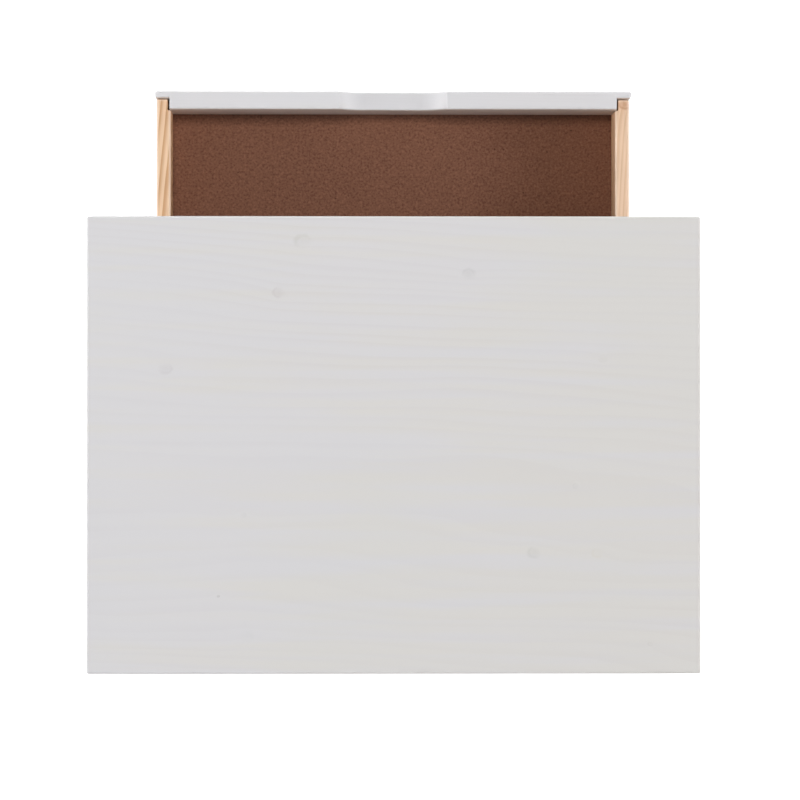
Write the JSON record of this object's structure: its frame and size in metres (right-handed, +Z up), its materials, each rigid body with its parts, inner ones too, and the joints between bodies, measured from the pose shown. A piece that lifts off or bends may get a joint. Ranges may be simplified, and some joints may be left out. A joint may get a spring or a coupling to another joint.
{
  "type": "storage bench",
  "caption": "Low pine bench with square legs, a flat rectangular seat and one shallow pull-out drawer with a scooped front under it.",
  "frame": {"origin": "on the floor, under the middle of the whole object with its drawer standing 144 mm open", "axes": "+Z up, -Y out of the drawer front, +X along the seat to the right of someone facing the drawer"},
  "size_m": [0.6, 0.573, 0.45],
  "materials": {
    "whitewashed_pine": "satin white stain over fine pine grain",
    "raw_pine": "bare planed pine",
    "hardboard": "smooth brown fibreboard",
    "zinc_steel": "zinc plated",
    "beech": "bare turned beech",
    "nylon": "matt moulded"
  },
  "bodies": {
    "bench": {"apron_back": "whitewashed_pine", "apron_left": "whitewashed_pine", "apron_right": "whitewashed_pine", "barrel_nut_back_apron_lower_left": "zinc_steel", "barrel_nut_back_apron_lower_right": "zinc_steel", "barrel_nut_back_apron_upper_left": "zinc_steel", "barrel_nut_back_apron_upper_right": "zinc_steel", "barrel_nut_lower_rail_left": "zinc_steel", "barrel_nut_lower_rail_right": "zinc_steel", "barrel_nut_upper_rail_left": "zinc_steel", "barrel_nut_upper_rail_right": "zinc_steel", "bolt_back_apron_lower_left": "zinc_steel", "bolt_back_apron_lower_right": "zinc_steel", "bolt_back_apron_upper_left": "zinc_steel", "bolt_back_apron_upper_right": "zinc_steel", "bolt_lower_rail_left": "zinc_steel", "bolt_lower_rail_right": "zinc_steel", "bolt_upper_rail_left": "zinc_steel", "bolt_upper_rail_right": "zinc_steel", "bracket_screw_seat_back_left": "zinc_steel", "bracket_screw_seat_back_right": "zinc_steel", "bracket_screw_seat_front_left": "zinc_steel", "bracket_screw_seat_front_right": "zinc_steel", "bracket_screw_side_back_left": "zinc_steel", "bracket_screw_side_back_right": "zinc_steel", "bracket_screw_side_front_left": "zinc_steel", "bracket_screw_side_front_right": "zinc_steel", "dowel_lower_rail_left": "beech", "dowel_lower_rail_right": "beech", "dowel_upper_rail_left": "beech", "dowel_upper_rail_right": "beech", "drawer_kicker_left": "raw_pine", "drawer_kicker_right": "raw_pine", "drawer_runner_left": "raw_pine", "drawer_runner_right": "raw_pine", "foot_glide_back_left": "nylon", "foot_glide_back_right": "nylon", "foot_glide_front_left": "nylon", "foot_glide_front_right": "nylon", "front_rail_lower": "whitewashed_pine", "front_rail_upper": "whitewashed_pine", "leg_back_left": "whitewashed_pine", "leg_back_right": "whitewashed_pine", "leg_front_left": "whitewashed_pine", "leg_front_right": "whitewashed_pine", "seat_top": "whitewashed_pine", "side_guide_left": "raw_pine", "side_guide_right": "raw_pine", "top_bracket_back_left": "zinc_steel", "top_bracket_back_right": "zinc_steel", "top_bracket_front_left": "zinc_steel", "top_bracket_front_right": "zinc_steel"},
    "drawer": {"drawer_front": "whitewashed_pine", "drawer_side_left": "raw_pine", "drawer_side_right": "raw_pine", "drawer_back": "raw_pine", "drawer_bottom": "hardboard", "stop_screw": "zinc_steel"},
    "stop_button": {"stop_button": "raw_pine"}
  },
  "joints": [
    {"name": "drawer_slide", "type": "slide", "parent": "bench", "child": "drawer", "axis": [0, -1, 0], "range_m": [-0.144, 0.1573]},
    {"name": "stop_button_turn", "type": "hinge", "parent": "drawer", "child": "stop_button", "pos_m": [0, 0.0642, 0.3895], "axis": [0, 1, 0], "range_deg": [0, 90]}
  ]
}
